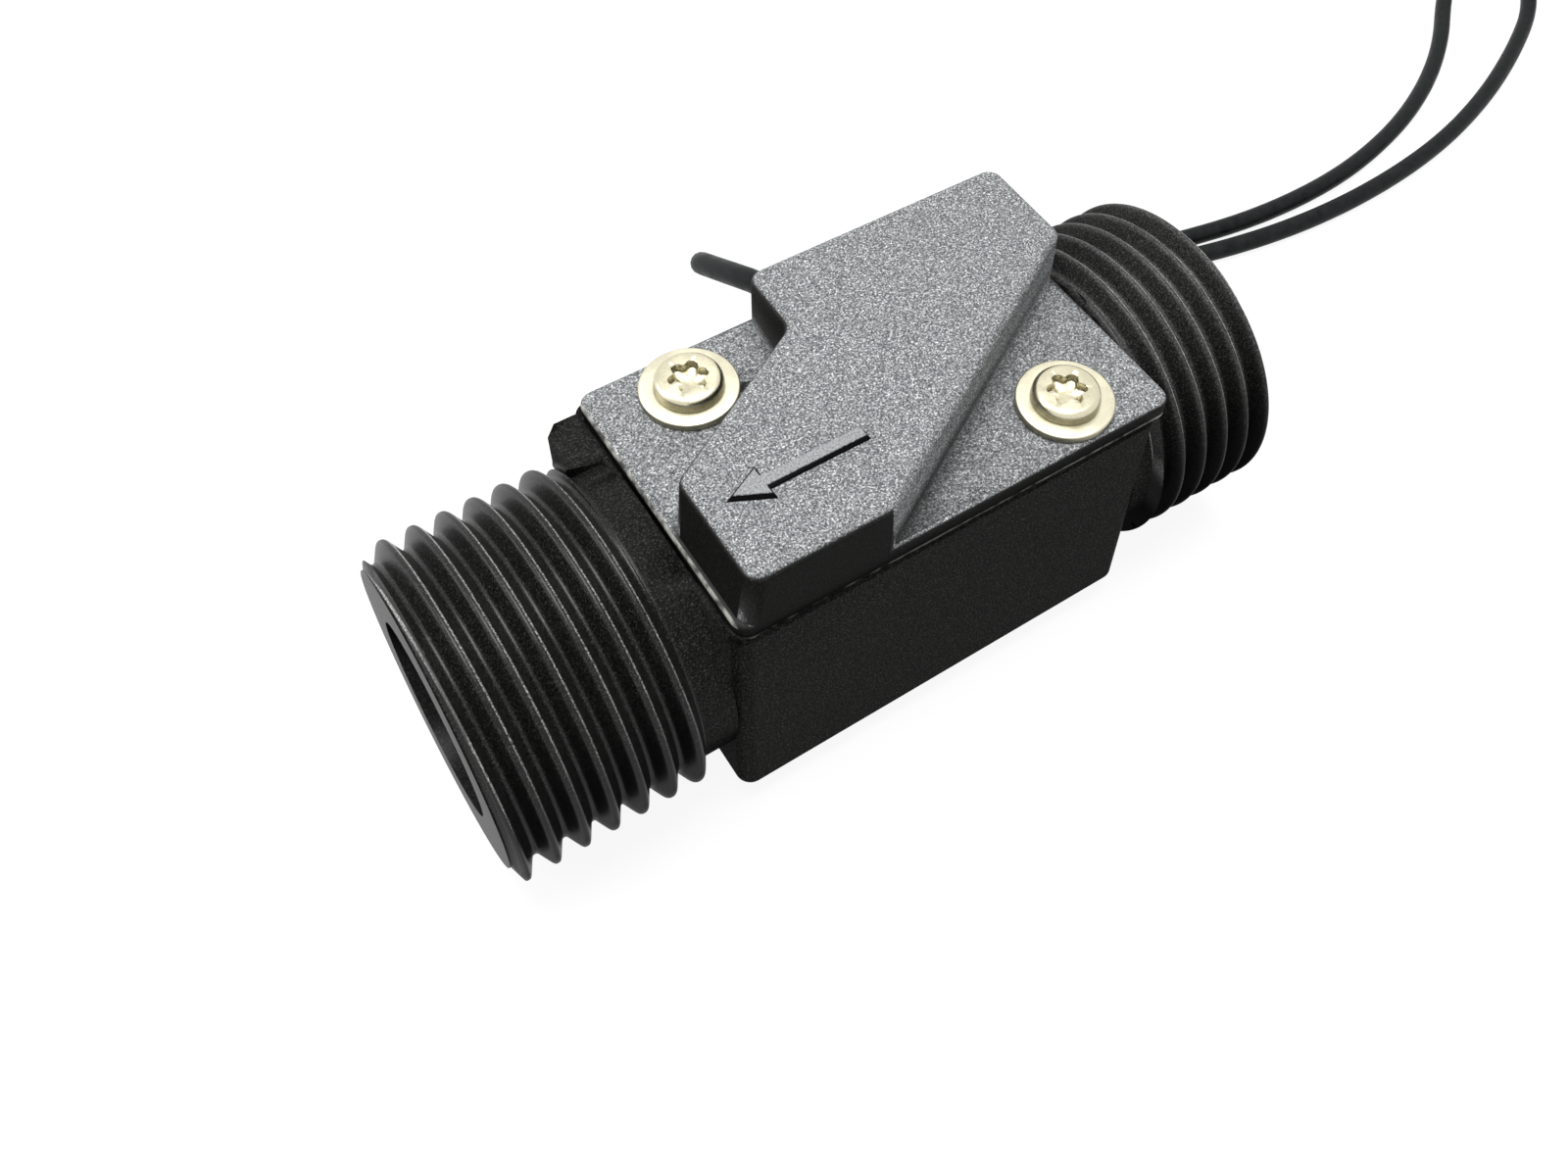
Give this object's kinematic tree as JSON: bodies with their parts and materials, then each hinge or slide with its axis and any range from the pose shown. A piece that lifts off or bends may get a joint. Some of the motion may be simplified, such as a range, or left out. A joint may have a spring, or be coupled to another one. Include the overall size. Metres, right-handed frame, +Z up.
{
  "type": "flow switch",
  "caption": "In-line water flow switch: black block with male pipe threads on both ends, a screwed-down cover holding a reed contact, a hinged magnet flap inside, and wire leads.",
  "frame": {"origin": "on the flow axis, where the full-diameter inlet thread begins behind its lead-in", "axes": "+X along the flow from inlet to outlet, +Z up through the cover, +Y towards the side without leads"},
  "size_m": [0.1512, 0.0485, 0.0242],
  "materials": {
    "body_plastic": "fine moulded grain",
    "cover_plastic": "coarse moulded grain",
    "seal_rubber": "smooth",
    "screw_steel": "satin",
    "washer_steel": "satin",
    "seat_plastic": "smooth",
    "carrier_plastic": "smooth",
    "pin_steel": "polished",
    "flap_plastic": "smooth",
    "magnet": "matt sintered",
    "spring_steel": "drawn wire",
    "reed_glass": "clear",
    "blade_metal": "plated",
    "crimp_brass": "tin plated",
    "sleeve_plastic": "smooth",
    "resin": "cast",
    "lead_sheath": "satin",
    "tie_plastic": "satin",
    "tinned_copper": "tinned"
  },
  "bodies": {
    "housing": {"body": "body_plastic", "cover": "cover_plastic", "cover_seal": "seal_rubber", "cover_screws": "screw_steel", "screw_washers": "washer_steel", "seat_ring": "seat_plastic", "hinge_carrier": "carrier_plastic", "hinge_pin": "pin_steel", "return_spring": "spring_steel", "reed_glass": "reed_glass", "reed_blade_near": "blade_metal", "reed_blade_far": "blade_metal", "crimp_sleeves": "crimp_brass", "tail_sleeve": "sleeve_plastic", "potting_resin": "resin", "lead_1": "lead_sheath", "lead_2": "lead_sheath", "lead_1_coil": "lead_sheath", "lead_2_coil": "lead_sheath", "coil_tie": "tie_plastic", "tinned_ends": "tinned_copper"},
    "flap": {"flap": "flap_plastic", "flap_magnet": "magnet", "magnet_cap": "flap_plastic"}
  },
  "joints": [
    {"name": "flap_swing", "type": "hinge", "parent": "housing", "child": "flap", "pos_m": [0.023, 0, 0.00555], "axis": [0, -1, 0], "range_deg": [0, 50], "stiffness_Nm_per_rad": 0.0001, "springref_deg": -11.46, "deforming": ["return_spring"]}
  ]
}
